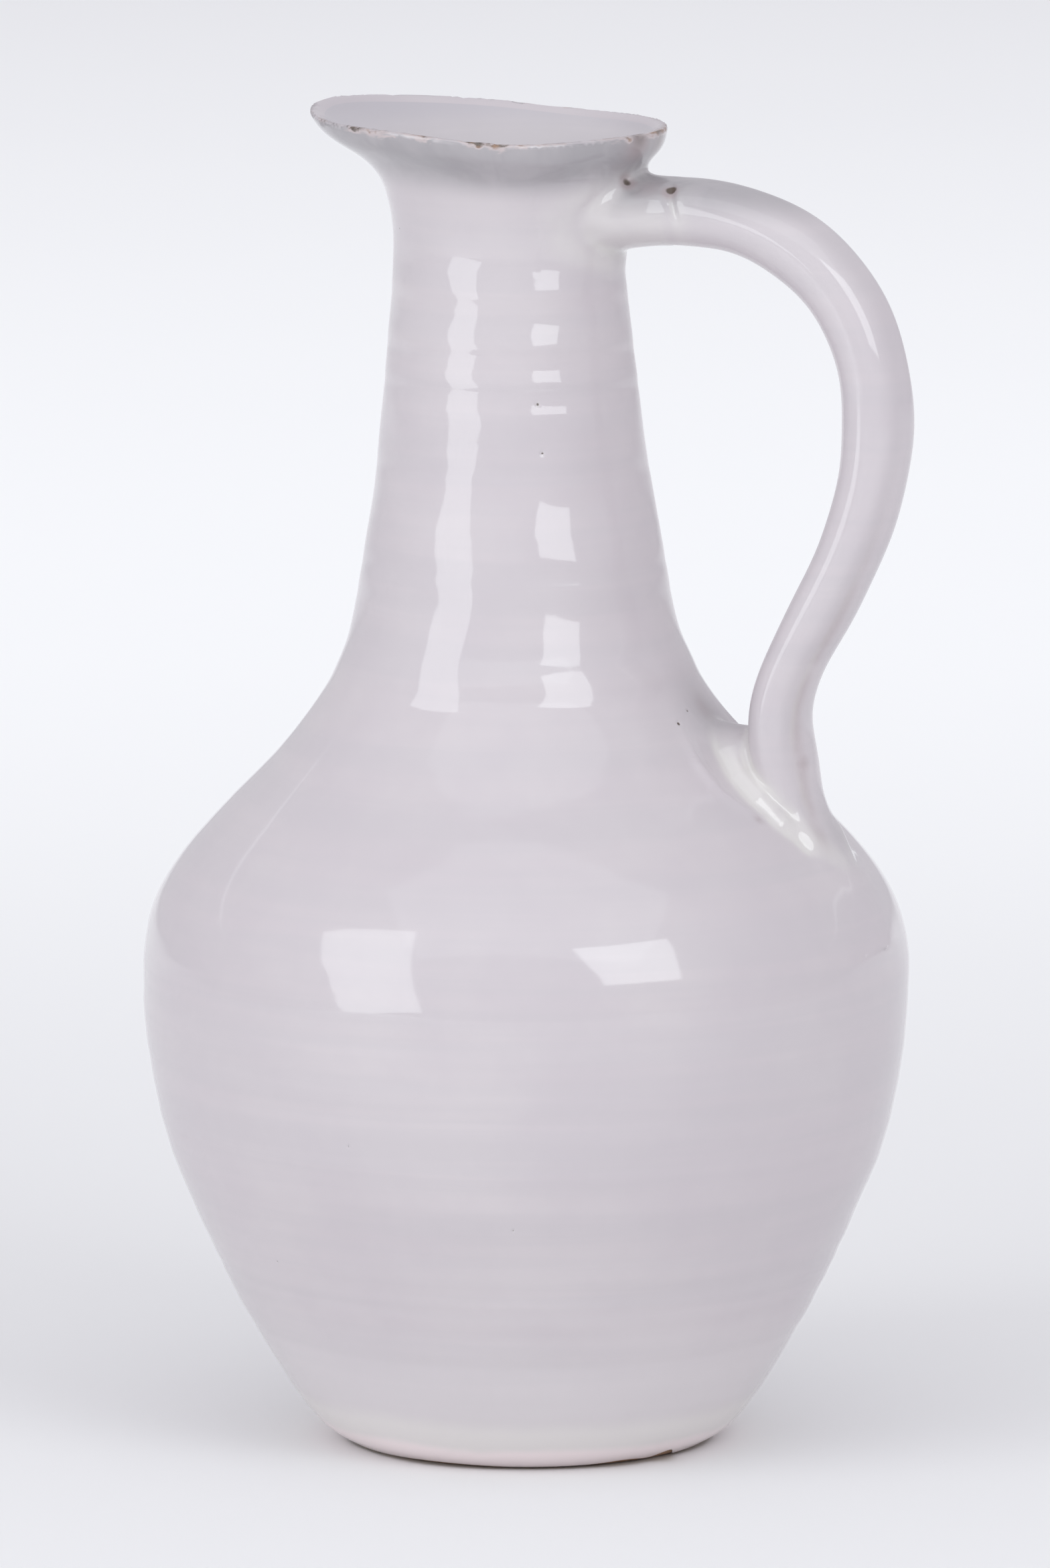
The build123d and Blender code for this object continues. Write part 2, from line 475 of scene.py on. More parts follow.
def wad(p, depth):
    """The lump of clay that joins the strap to the neck."""
    x = p[:, 0]
    narrowing = ramp(x, 17.0, WAD_END + 2.0)
    wide = WAD_HALF_WIDTH - WAD_NARROWING * narrowing
    high = WAD_HALF_HEIGHT - WAD_LOWERING * narrowing
    middle = WAD_HEIGHT + 0.6 * narrowing
    lump = np.hypot(p[:, 1] / wide, (p[:, 2] - middle) / high)
    whole = (lump - 1.0) * np.minimum(wide, high)
    whole = rounded_corner(whole, x - WAD_END - WAD_END_ROUNDING, WAD_END_ROUNDING)
    return rounded_corner(whole, WAD_START - x, 2.0) + depth


def chain(p, points):
    """Distance to a chain of points on both sides of the XZ plane, and its fourth value there."""
    points = np.array(points)
    mirrored = np.stack([p[:, 0], np.abs(p[:, 1]), p[:, 2]], axis=1)
    best = np.full(len(p), 1e3)
    value = np.zeros(len(p))
    for start, end in zip(points[:-1], points[1:]):
        step = end[:3] - start[:3]
        t = np.clip(((mirrored - start[:3]) @ step) / (step @ step), 0.0, 1.0)
        gap = np.linalg.norm(mirrored - start[:3] - t[:, None] * step, axis=1)
        value = np.where(gap < best, start[3] + t * (end[3] - start[3]), value)
        best = np.minimum(best, gap)
    return best, value


def coil(p, depth):
    """The ridge of clay on both sides of the strap's foot, with the web inside the corner."""
    ridge, ridge_radius = chain(p, COIL_POINTS)
    web, web_radius = chain(p, WEB_POINTS)
    return blend_union(ridge - ridge_radius, web - web_radius, 5.0) + depth


def near_handle(p):
    """Points in the box that holds the handle and its joints."""
    return (p[:, 0] > 12.0) & (p[:, 2] > 135.0) & (np.abs(p[:, 1]) < 34.0) & (p[:, 0] < 125.0)


def joint_marks(p):
    """Hollows (positive) and folds (negative) wiped into the wall round the handle's joints."""
    marks = np.zeros(len(p))
    near = near_handle(p)
    q = p[near]
    fold, fold_height = chain(q, FOLD_POINTS)
    lump = wad(q, 0.0)
    collar = 0.35 * bell(lump, 0.8, 1.6) - 0.28 * bell(lump, 4.0, 2.3) + 0.12 * bell(lump, 8.0, 2.8)
    marks[near] = collar * (1.0 - ramp(q[:, 0], 23.0, 31.0)) - fold_height * bell(fold, 0.0, 2.2)
    return marks


def with_fittings(p, solid):
    """Adds the wad, strap and coil to the vessel, with the fillets of wiped clay and run glaze."""
    near = near_handle(p)
    q = p[near]
    _, out = strap_frame(q)
    low_end = 1.0 - ramp(q[:, 2], 200.0, 230.0)
    smeared = low_end * ramp(out, 2.0, 8.0)
    strap_fillet = 1.2 + 1.4 * low_end + 11.5 * smeared
    joined = blend_union(solid[near], wad(q, 0.0), WAD_FILLET)
    joined = blend_union(joined, coil(q, 0.0), COIL_FILLET)
    joined = blend_union(joined, strap(q, 0.0), strap_fillet)
    solid = solid.copy()
    solid[near] = joined
    return solid + joint_marks(p)


def pit_points():
    """Centre, radius, depth and brownness of every pit."""
    found = [((x, y, z), radius, depth, brown) for x, y, z, radius, depth, brown in ROOT_PITS]
    for degrees, height, radius in WALL_PITS:
        angle = math.radians(degrees)
        mark = hand_marks(np.array([height]), np.array([angle]))[0]
        across = float(read(outer_radius, height) + mark)
        x = across * math.cos(angle) - float(drift(height))
        found.append(((x, across * math.sin(angle), height), radius, 0.6 * radius, 1.0))
    return found


PITS = pit_points()


def glazed(p):
    """The whole glazed pitcher."""
    solid = with_fittings(p, vessel(p, 0.0))
    crease, crease_depth = chain(p, CREASE_POINTS)
    solid = solid + crease_depth * bell(crease, 0.0, CREASE_HALF_WIDTH)
    for centre, radius, depth, _ in PITS:
        gap = np.linalg.norm(p - np.array(centre), axis=1)
        solid = solid + depth * bell(gap, 0.0, radius)
    return solid


WAD_CLAY_DEPTH = GLAZE + 0.8        # the clay of the fittings lies a little deeper, because
FITTING_CLAY_DEPTH = GLAZE + 0.3    # the glaze has run thicker over them


def clay_body(p):
    return np.maximum(vessel(p, GLAZE) + joint_marks(p), p[:, 2] - LUTING_HEIGHT)


def clay_neck(p):
    return np.maximum(vessel(p, GLAZE) + joint_marks(p), LUTING_HEIGHT - p[:, 2])


def clay_wad(p):
    return np.maximum(wad(p, WAD_CLAY_DEPTH), -outside(p, GLAZE))


def clay_strap(p):
    whole = np.maximum(strap(p, FITTING_CLAY_DEPTH), WAD_END + 1.0 - p[:, 0])
    return np.maximum(whole, -outside(p, GLAZE))


def clay_coil(p):
    whole = np.maximum(coil(p, FITTING_CLAY_DEPTH), -outside(p, GLAZE))
    return np.maximum(whole, -strap(p, FITTING_CLAY_DEPTH))


# ---------------------------------------------------------------- meshes from shapes
BLOCK = 4                 # cells along the side of a block of the grid
BATCH = 400_000           # points worked out at once


def evaluate(shape, points):
    """A shape's distance at many points, in batches."""
    return np.concatenate([shape(points[i:i + BATCH]) for i in range(0, len(points), BATCH)])


def sampled(shape, low, high, cell):
    """The shape's distances on a grid, exact only in the blocks near its surface."""
    span = BLOCK * cell
    blocks = np.ceil((high - low) / span).astype(int) + 1
    corner = np.stack(np.meshgrid(*[np.arange(n) for n in blocks], indexing="ij"), axis=-1)
    middles = low + (corner.reshape(-1, 3) + 0.5) * span - 0.5 * cell
    rough = evaluate(shape, middles).reshape(blocks)
    grid = np.repeat(np.repeat(np.repeat(rough, BLOCK, 0), BLOCK, 1), BLOCK, 2)
    near = np.argwhere(np.abs(rough) < span * 1.3)
    inner = np.stack(np.meshgrid(*[np.arange(BLOCK)] * 3, indexing="ij"), axis=-1).reshape(-1, 3)
    index = (near[:, None, :] * BLOCK + inner[None]).reshape(-1, 3)
    grid[tuple(index.T)] = evaluate(shape, low + index * cell)
    return np.clip(grid, -3 * cell, 3 * cell)


def gradient(shape, points, step=0.25):
    """Direction in which a shape's distance grows, at points."""
    parts = []
    for axis in np.eye(3):
        parts.append(evaluate(shape, points + axis * step) - evaluate(shape, points - axis * step))
    return np.stack(parts, axis=1) / (2 * step)


def settled(shape, points, rounds=3):
    """Moves points onto a shape's surface."""
    for _ in range(rounds):
        slope = gradient(shape, points)
        push = evaluate(shape, points) / np.maximum((slope ** 2).sum(axis=1), 0.25)
        points = points - np.clip(push, -1.0, 1.0)[:, None] * slope
    return points


def polygons(shape, low, high, cell):
    """Points and faces of a shape's surface."""
    low, high = np.array(low, float), np.array(high, float)
    grid = openvdb.FloatGrid()
    grid.copyFromArray(sampled(shape, low, high, cell).astype(np.float32))
    points, quads = grid.convertToQuads(isovalue=0.0)
    return low + points.astype(float) * cell, quads[:, ::-1]


def mesh_of(points, faces):
    """A bmesh from points in millimetres."""
    data = bpy.data.meshes.new("draft")
    data.from_pydata((points * MM).tolist(), [], [list(f) for f in faces])
    mesh = bmesh.new()
    mesh.from_mesh(data)
    bpy.data.meshes.remove(data)
    return mesh


def points_of(mesh):
    """A bmesh's points in millimetres."""
    return np.array([v.co[:] for v in mesh.verts]) / MM


def move_points(mesh, points):
    """Puts a bmesh's points at places in millimetres."""
    for vertex, place in zip(mesh.verts, points * MM):
        vertex.co = place


def refine(mesh, chosen):
    """Splits the faces all of whose points are chosen."""
    faces = {f for f in mesh.faces if all(chosen[v.index] for v in f.verts)}
    edges = [e for e in mesh.edges if any(f in faces for f in e.link_faces)]
    bmesh.ops.subdivide_edges(mesh, edges=edges, cuts=1, use_grid_fill=True)
    mesh.verts.index_update()


def finished_piece(name, mesh, material, shape):
    """A Blender object from a bmesh, smooth, with the shape's own surface directions."""
    bmesh.ops.recalc_face_normals(mesh, faces=mesh.faces)
    data = bpy.data.meshes.new(name)
    mesh.to_mesh(data)
    mesh.free()
    data.polygons.foreach_set("use_smooth", [True] * len(data.polygons))
    piece = bpy.data.objects.new(name, data)
    bpy.context.scene.collection.objects.link(piece)
    data.materials.append(material)
    places = np.empty(len(data.vertices) * 3)
    data.vertices.foreach_get("co", places)
    places = places.reshape(-1, 3) / MM
    facing = gradient(shape, places)
    facing /= np.maximum(np.linalg.norm(facing, axis=1), 1e-6)[:, None]
    rough = np.empty(len(data.vertices) * 3)
    data.vertices.foreach_get("normal", rough)
    rough = rough.reshape(-1, 3)
    sure = (facing * rough).sum(axis=1) > 0.7
    facing[~sure] = rough[~sure]
    data.normals_split_custom_set_from_vertices(facing.tolist())
    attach(piece, ROOT)
    return piece, places


def give(piece, name, values):
    """Stores a number at each of a piece's points, for its material to read."""
    field = piece.data.attributes.new(name, "FLOAT", "POINT")
    field.data.foreach_set("value", np.asarray(values, dtype=np.float32))


# ---------------------------------------------------------------- materials
# Linear colours of the outer glaze.
LILAC = (0.596, 0.546, 0.576)
PALE_LILAC = (0.630, 0.583, 0.604)
BAND_GREY = (0.560, 0.528, 0.556)
POOLED_CREAM = (0.700, 0.672, 0.660)
# Painted bounce light from the floor, lightening the belly towards the foot.
FLOOR_BOUNCE_LIGHT = (0.690, 0.650, 0.665)
# The glaze's cream and pink band at the foot, brightened as painted bounce light from the floor.
FOOT_CREAM_AND_BOUNCE_LIGHT = (0.790, 0.760, 0.730)
FOOT_PINK_AND_BOUNCE_LIGHT = (0.900, 0.790, 0.800)
# Thin glaze, and painted shade under the lip and round the strap's foot.
THIN_GLAZE_AND_SHADE_GREY = (0.378, 0.360, 0.378)
# Iron stains, and painted shade above the strap's foot and along the strap's groove.
STAIN_AND_SHADE_BROWN = (0.400, 0.330, 0.340)
WORN_PINK = (0.560, 0.490, 0.495)
DARK_IRON = (0.150, 0.125, 0.110)
RUST = (0.340, 0.215, 0.150)
BURNT_EDGE = (0.070, 0.068, 0.055)
PIT_BROWN = (0.110, 0.085, 0.070)
SPECK_BROWN = (0.20, 0.17, 0.16)
# Of the liner glaze.
LINER_GREY = (0.605, 0.570, 0.590)
LINER_PALE = (0.640, 0.600, 0.620)
LINER_BAND = (0.575, 0.543, 0.563)
LINER_LIP = (0.520, 0.495, 0.535)
# Of the fired clay and of the floor.
CLAY_BROWN = (0.300, 0.170, 0.100)
CLAY_TAN = (0.420, 0.265, 0.165)
CLAY_GRIT = (0.520, 0.370, 0.260)
CLAY_SPECK = (0.070, 0.040, 0.028)
FLOOR_GREY = (0.885, 0.885, 0.890)
FLOOR_PALE = (0.900, 0.900, 0.902)


def new_material(name):
    material = bpy.data.materials.new(name)
    material.use_nodes = True
    nodes = material.node_tree.nodes
    return material, nodes, material.node_tree.links, nodes["Principled BSDF"]


class Graph:
    """Short ways to add nodes to one material."""

    def __init__(self, name):
        self.material, self.nodes, self.links, self.shader = new_material(name)
        self.place = self.nodes.new("ShaderNodeTexCoord").outputs["Object"]
        split = self.nodes.new("ShaderNodeSeparateXYZ")
        self.links.new(self.place, split.inputs["Vector"])
        self.height = split.outputs["Z"]

    def attribute(self, name):
        node = self.nodes.new("ShaderNodeAttribute")
        node.attribute_name = name
        return node.outputs["Fac"]

    def math(self, operation, first, second=0.0):
        node = self.nodes.new("ShaderNodeMath")
        node.operation = operation
        for socket, value in zip(node.inputs, (first, second)):
            self.feed(socket, value)
        return node.outputs[0]

    def feed(self, socket, value):
        """Links a socket to another socket, or sets it to a number."""
        if isinstance(value, bpy.types.NodeSocket):
            self.links.new(value, socket)
        else:
            socket.default_value = value

    def spread(self, value, low, high, start=0.0, end=1.0):
        """Goes smoothly from start to end as the value goes from low to high."""
        node = self.nodes.new("ShaderNodeMapRange")
        node.interpolation_type = "SMOOTHSTEP"
        self.feed(node.inputs["Value"], value)
        limits = (("From Min", low), ("From Max", high), ("To Min", start), ("To Max", end))
        for name, amount in limits:
            self.feed(node.inputs[name], amount)
        return node.outputs["Result"]

    def mix(self, amount, first, second):
        """From the first colour to the second as the amount goes from 0 to 1."""
        node = self.nodes.new("ShaderNodeMix")
        node.data_type = "RGBA"
        self.feed(node.inputs["Factor"], amount)
        for socket, value in zip((node.inputs[6], node.inputs[7]), (first, second)):
            self.feed(socket, value if isinstance(value, bpy.types.NodeSocket) else (*value, 1.0))
        return node.outputs[2]

    def stretched(self, scale):
        """Object coordinates in metres, scaled along each axis."""
        node = self.nodes.new("ShaderNodeMapping")
        self.links.new(self.place, node.inputs["Vector"])
        node.inputs["Scale"].default_value = scale
        return node.outputs["Vector"]

    def noise(self, scale, detail=2.0, roughness=0.5, stretch=(1, 1, 1), distortion=0.0):
        node = self.nodes.new("ShaderNodeTexNoise")
        self.links.new(self.stretched(stretch), node.inputs["Vector"])
        node.inputs["Scale"].default_value = scale
        node.inputs["Detail"].default_value = detail
        node.inputs["Roughness"].default_value = roughness
        node.inputs["Distortion"].default_value = distortion
        return node.outputs["Fac"]

    def specks(self, scale, radius, share):
        """Scattered round specks: 1 inside a speck, in a share of the cells."""
        node = self.nodes.new("ShaderNodeTexVoronoi")
        self.links.new(self.place, node.inputs["Vector"])
        node.inputs["Scale"].default_value = scale
        chance = self.nodes.new("ShaderNodeSeparateColor")
        self.links.new(node.outputs["Color"], chance.inputs["Color"])
        kept = self.math("LESS_THAN", chance.outputs["Red"], share)
        inside = self.spread(node.outputs["Distance"], radius * scale, radius * scale * 0.5)
        return self.math("MULTIPLY", inside, kept)

    def bump(self, height, strength, distance):
        node = self.nodes.new("ShaderNodeBump")
        self.links.new(height, node.inputs["Height"])
        node.inputs["Strength"].default_value = strength
        node.inputs["Distance"].default_value = distance
        self.links.new(node.outputs["Normal"], self.shader.inputs["Normal"])


def outer_glaze_material():
    """Glossy pale glaze: cream where it pools, thin and brown on sharp edges, with pinholes,
    painted shade under the lip and round the strap's foot, and painted bounce light from the floor
    near the foot.
    """
    g = Graph("outer_glaze")
    # The body of the glaze, with the turning bands showing through and cream in the hollows.
    bands = g.noise(1.0, 3.0, 0.55, stretch=(6, 6, 170), distortion=0.3)
    clouds = g.noise(16.0, 4.0, 0.6)
    color = g.mix(g.spread(clouds, 0.35, 0.68), LILAC, PALE_LILAC)
    color = g.mix(g.spread(bands, 0.38, 0.62, 0.0, 0.30), color, BAND_GREY)
    blotches = g.noise(55.0, 3.0, 0.6, distortion=0.6)
    thick = g.math("MULTIPLY", g.attribute("pool"), g.spread(blotches, 0.30, 0.55, 0.6, 1.0))
    color = g.mix(thick, color, POOLED_CREAM)
    # Painted bounce light from the floor, paler towards the foot, then the glaze's own cream and
    # pink band at the foot, made brighter by the same painted bounce light.
    height = g.math("ADD", g.height, g.math("MULTIPLY", g.math("SUBTRACT", clouds, 0.5), 0.006))
    color = g.mix(g.spread(height, 0.045, 0.018, 0.0, 0.7), color, FLOOR_BOUNCE_LIGHT)
    color = g.mix(g.spread(height, 0.0170, 0.0110, 0.0, 0.55), color, FOOT_CREAM_AND_BOUNCE_LIGHT)
    color = g.mix(g.spread(height, 0.0080, 0.0050, 0.0, 0.85), color, FOOT_PINK_AND_BOUNCE_LIGHT)
    # Thin grey glaze with painted shade under the lip and round the strap's foot, and iron stains
    # with painted shade above the strap's foot and in the strap's groove.
    runs = g.noise(1.0, 3.0, 0.6, stretch=(60, 60, 14), distortion=0.6)
    thin_and_shade = g.math("MULTIPLY", g.attribute("thin_and_shade"), g.spread(runs, 0.30, 0.60, 0.75, 1.0))
    color = g.mix(thin_and_shade, color, THIN_GLAZE_AND_SHADE_GREY)
    seep_and_shade = g.math("MULTIPLY", g.attribute("stain_and_shade"), g.spread(blotches, 0.25, 0.60, 0.55, 1.1))
    color = g.mix(g.spread(seep_and_shade, 0.0, 0.75, 0.0, 0.75), color, STAIN_AND_SHADE_BROWN)
    # The lip's edge breaks to pink, rust and black, and pits and specks are brown.
    streaks = g.noise(130.0, 4.0, 0.6, stretch=(1, 1, 2.5), distortion=0.4)
    broken = g.math("ADD", g.attribute("wear"), g.spread(streaks, 0.35, 0.70, -0.22, 0.22))
    iron = g.noise(170.0, 2.0, 0.5)
    rust = g.mix(g.spread(iron, 0.42, 0.60), DARK_IRON, RUST)
    color = g.mix(g.spread(broken, 0.26, 0.50), color, WORN_PINK)
    color = g.mix(g.spread(broken, 0.50, 0.80), color, rust)
    color = g.mix(g.spread(broken, 0.86, 1.05), color, BURNT_EDGE)
    color = g.mix(g.spread(g.attribute("pit"), 0.25, 0.8), color, PIT_BROWN)
    specks = g.specks(70.0, 0.00028, 0.16)
    color = g.mix(g.math("MULTIPLY", specks, 0.75), color, SPECK_BROWN)
    g.links.new(color, g.shader.inputs["Base Color"])
    g.links.new(g.spread(broken, 0.5, 0.9, 0.07, 0.30), g.shader.inputs["Roughness"])
    g.shader.inputs["IOR"].default_value = 1.58
    ripples = g.noise(38.0, 2.0, 0.5)
    g.bump(g.math("SUBTRACT", ripples, g.math("MULTIPLY", specks, 0.8)), 0.22, 0.0006)
    return g.material


def liner_glaze_material():
    """Glossy pale grey glaze inside, thinner and greyer towards the lip."""
    g = Graph("liner_glaze")
    bands = g.noise(1.0, 3.0, 0.55, stretch=(6, 6, 150), distortion=0.3)
    clouds = g.noise(22.0, 3.0, 0.6)
    color = g.mix(g.spread(clouds, 0.35, 0.68), LINER_GREY, LINER_PALE)
    color = g.mix(g.spread(bands, 0.38, 0.62, 0.0, 0.5), color, LINER_BAND)
    color = g.mix(g.spread(g.height, 0.339, 0.346, 0.0, 0.7), color, LINER_LIP)
    g.links.new(color, g.shader.inputs["Base Color"])
    g.shader.inputs["Roughness"].default_value = 0.09
    g.shader.inputs["IOR"].default_value = 1.52
    g.bump(g.noise(40.0, 2.0, 0.5), 0.2, 0.0006)
    return g.material


def clay_material():
    """Bare fired stoneware: brown, matt and gritty, with darker iron specks."""
    g = Graph("fired_clay")
    clouds = g.noise(26.0, 5.0, 0.62)
    grit = g.noise(620.0, 3.0, 0.7)
    color = g.mix(g.spread(clouds, 0.3, 0.7), CLAY_BROWN, CLAY_TAN)
    color = g.mix(g.spread(grit, 0.45, 0.70, 0.0, 0.6), color, CLAY_GRIT)
    specks = g.specks(420.0, 0.00045, 0.22)
    color = g.mix(g.math("MULTIPLY", specks, 0.8), color, CLAY_SPECK)
    g.links.new(color, g.shader.inputs["Base Color"])
    g.links.new(g.spread(grit, 0.3, 0.7, 0.72, 0.9), g.shader.inputs["Roughness"])
    turning = g.noise(1.0, 3.0, 0.6, stretch=(40, 40, 900))
    g.bump(g.math("ADD", grit, turning), 0.5, 0.0004)
    return g.material


def floor_material():
    g = Graph("floor")
    color = g.mix(g.noise(3.0, 2.0), FLOOR_GREY, FLOOR_PALE)
    g.links.new(color, g.shader.inputs["Base Color"])
    g.shader.inputs["Roughness"].default_value = 0.7
    return g.material


# ---------------------------------------------------------------- glaze pieces
# Worn places along the lip: angle round it and half their width in degrees, strength.
WEAR_SPOTS = [
    (-118.0, 4.0, 0.65),
    (-108.0, 7.0, 0.50),
    (-92.0, 8.0, 0.30),
    (-76.0, 1.8, 0.50),
    (-73.0, 1.0, 0.85),
    (-67.0, 3.2, 0.80),
    (-59.0, 3.0, 0.35),
    (-18.0, 2.0, 0.70),
    (-6.0, 6.0, 0.65),
    (10.0, 9.0, 0.70),
    (48.0, 12.0, 0.35),
    (95.0, 14.0, 0.40),
    (135.0, 10.0, 0.30),
    (175.0, 12.0, 0.30),
]
MID_LIP = 2.0             # deeper than this under the outside is the inside
INNER_LIP_EDGE = -1.6     # the liner starts this far below the crest of the lip
# Painted shade in the corners round the strap's foot: X, Y, Z, radius, strength.
SHADED_CORNERS = [
    (50.0, -2.0, 194.0, 10.0, 0.6),
    (84.0, 2.0, 163.0, 9.0, 0.45),
]
# Grime in the thin glaze of the lip above the handle: X, Y, Z, radius, strength.
GRIME = [
    (34.5, -10.0, 345.2, 6.0, 0.52),
    (36.0, 3.0, 344.2, 7.0, 0.46),
]


def foot_line(angle):
    """Height at which the outer glaze ends, round the foot."""
    wave = 0.35 * np.sin(3 * angle + 0.4) + 0.25 * np.sin(7 * angle + 1.3)
    bare = 2.4 * bell(angle, math.radians(-24), 0.07) + 1.0 * bell(angle, math.radians(-38), 0.16)
    return 0.75 + 0.6 * wave + bare + 1.6 * bell(angle, math.radians(120), 0.3)


def split_at(mesh, offset):
    """Adds a line of edges where a point's own offset is zero."""
    offsets = offset(points_of(mesh)) * MM
    layer = mesh.verts.layers.float.new("true_height")
    for vertex, height in zip(mesh.verts, offsets):
        vertex[layer] = vertex.co.z
        vertex.co.z = height
    everything = mesh.verts[:] + mesh.edges[:] + mesh.faces[:]
    bmesh.ops.bisect_plane(mesh, geom=everything, dist=1e-7, plane_co=(0, 0, 0), plane_no=(0, 0, 1))
    for vertex in mesh.verts:
        vertex.co.z = vertex[layer]
    mesh.verts.layers.float.remove(layer)
    mesh.verts.index_update()


def above_foot_line(points):
    """How far points are above the outer glaze's lower edge."""
    angle = np.arctan2(points[:, 1], points[:, 0])
    return points[:, 2] - foot_line(angle)


def above_lip_edge(points):
    """How far points are above the line inside the lip where the glazes meet."""
    height, _, _ = wall_frame(points)
    return height - LIP_HEIGHT - INNER_LIP_EDGE


def concavity(points, reach=2.5):
    """How hollow the surface is at points, 0 to 1."""
    around = -6.0 * evaluate(glazed, points)
    for axis in np.eye(3):
        around += evaluate(glazed, points + axis * reach) + evaluate(glazed, points - axis * reach)
    return ramp(-around / reach ** 2, 0.06, 0.30)


def patches(points, places):
    """Soft round patches, the strongest at each point: X, Y, Z, radius and strength of each."""
    shade = np.zeros(len(points))
    for x, y, z, radius, strength in places:
        gap = np.linalg.norm(points - np.array((x, y, z)), axis=1)
        shade = np.maximum(shade, strength * bell(gap, 0.0, radius))
    return shade


def pooled_glaze(points):
    """Where the glaze has run thick and creamy: joints, hollows and the strap foot's ridge."""
    ridge, radius = chain(points, COIL_POINTS)
    web, web_radius = chain(points, WEB_POINTS)
    on_ridge = (1.0 - ramp(ridge - radius, 0.3, 4.5)) * ramp(web - web_radius, -0.5, 3.5)
    lump = wad(points, 0.0)
    collar = 0.50 * bell(lump, 3.6, 2.6) * ramp(points[:, 0], 8.0, 16.0)
    on_wad = 0.50 * (1.0 - ramp(lump, 0.0, 1.5)) * (1.0 - ramp(points[:, 0], 41.0, 46.0))
    return np.clip(0.9 * on_ridge + collar + on_wad + 0.6 * concavity(points), 0.0, 1.0)


def stains_and_shade(points):
    """Where iron from the clay shows through as brownish grey, with painted shade above the strap's
    foot and along the groove of the strap's lower half.
    """
    shade = patches(points, STAINS_AND_SHADE)
    place, out = strap_frame(points)
    section = np.arctan2(out / STRAP_HALF_THICKNESS, -points[:, 1] / STRAP_HALF_WIDTH)
    # Painted shade along the groove on the lower half of the strap.
    groove_shade = bell(section, 0.95, 0.26) * ramp(place, 0.45, 0.70) * (1.0 - ramp(place, 0.93, 0.98))
    on_strap = (np.abs(out) < 12.0) & (points[:, 0] > 45.0)
    return np.where(on_strap, np.maximum(shade, 0.38 * groove_shade), shade)


def lip_wear(points):
    """Where the glaze has broken to brown along the lip's edge."""
    height, _, angle = wall_frame(points)
    below = LIP_HEIGHT - height
    edge = 0.8 * bell(below, 1.0, 1.1) * ramp(outside(points, 0.0), -1.9, -0.8)
    handled = 0.5 + 0.5 * np.cos(angle - math.radians(-70.0))
    crest = 0.40 * bell(below, 0.1, 0.4) * (0.3 + 0.7 * handled)
    spots = np.zeros(len(points))
    for degrees, half, amount in WEAR_SPOTS:
        turn = np.angle(np.exp(1j * (angle - math.radians(degrees))))
        spots += amount * bell(turn, 0.0, math.radians(half))
    return edge * np.clip(0.22 + spots, 0.0, 1.1) + crest


def thin_glaze_and_shade(points):
    """Where the glaze is thin and greyer under the flared lip, with painted shade there and in the
    corners round the strap's foot.
    """
    height, _, _ = wall_frame(points)
    off_wall = outside(points, 0.0)
    flare = ramp(height + 6.0 * ramp(off_wall, 0.5, 5.0), 328.0, 339.0)
    below_crest = 1.0 - ramp(height, LIP_HEIGHT - 0.9, LIP_HEIGHT - 0.2)
    # Thin glaze and painted shade under the flared lip.
    grey = flare * below_crest * ramp(off_wall, -1.2, -0.4)
    return np.maximum(grey, patches(points, SHADED_CORNERS))


def dark_spots(points):
    """Where the glaze is dark: inside the pits and on the lip above the handle."""
    shade = patches(points, GRIME)
    for centre, radius, _, brown in PITS:
        gap = np.linalg.norm(points - np.array(centre), axis=1)
        shade = np.maximum(shade, brown * (1.0 - ramp(gap, radius * 0.3, radius * 1.1)))
    return shade


def make_glazes():
    """One skin for the whole pitcher, split at the foot line and the lip into its two glazes."""
    low = (-106.0, -106.0, -4.0)
    high = (110.0, 106.0, 356.0)
    points, quads = polygons(glazed, low, high, CELL)
    mesh = mesh_of(settled(glazed, points), quads)
    for reach in (3.0, 1.6):
        points = points_of(mesh)
        near = chain(points, CREASE_POINTS)[0] < reach
        near |= chain(points, COIL_POINTS)[0] < 4.0 + reach
        for centre, radius, _, _ in PITS:
            near |= np.linalg.norm(points - np.array(centre), axis=1) < radius * 1.5 + reach
        refine(mesh, near)
    move_points(mesh, settled(glazed, points_of(mesh), 2))
    split_at(mesh, above_foot_line)
    split_at(mesh, above_lip_edge)

    mesh.faces.ensure_lookup_table()
    middles = np.array([f.calc_center_median()[:] for f in mesh.faces]) / MM
    height, across, _ = wall_frame(middles)
    inner = (across < read(outer_radius, height) - MID_LIP) & (outside(middles, 0.0) < -MID_LIP)
    lined = inner & (above_lip_edge(middles) < 0.0) & (middles[:, 2] > FLOOR_HEIGHT - 4.0)
    underside = inner & (middles[:, 2] < FLOOR_HEIGHT - 4.0)
    coated = ~lined & ~underside & (above_foot_line(middles) > 0.0)

    made = []
    for name, chosen, material, slot_name in (
        ("outer_glaze_skin", coated, outer_glaze_material(), "outer_glaze"),
        ("liner_glaze_skin", lined, liner_glaze_material(), "liner_glaze"),
    ):
        part = mesh.copy()
        part.faces.ensure_lookup_table()
        unwanted = [face for face, keep in zip(part.faces, chosen) if not keep]
        bmesh.ops.delete(part, geom=unwanted, context="FACES")
        made.append(finished_piece(name, part, material, glazed))
    mesh.free()
    (outer, outer_points), (liner, _) = made
    give(outer, "pool", pooled_glaze(outer_points))
    give(outer, "stain_and_shade", stains_and_shade(outer_points))
    give(outer, "wear", lip_wear(outer_points))
    give(outer, "thin_and_shade", thin_glaze_and_shade(outer_points))
    give(outer, "pit", dark_spots(outer_points))
    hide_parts("outer_glaze")
    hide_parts("liner_glaze")


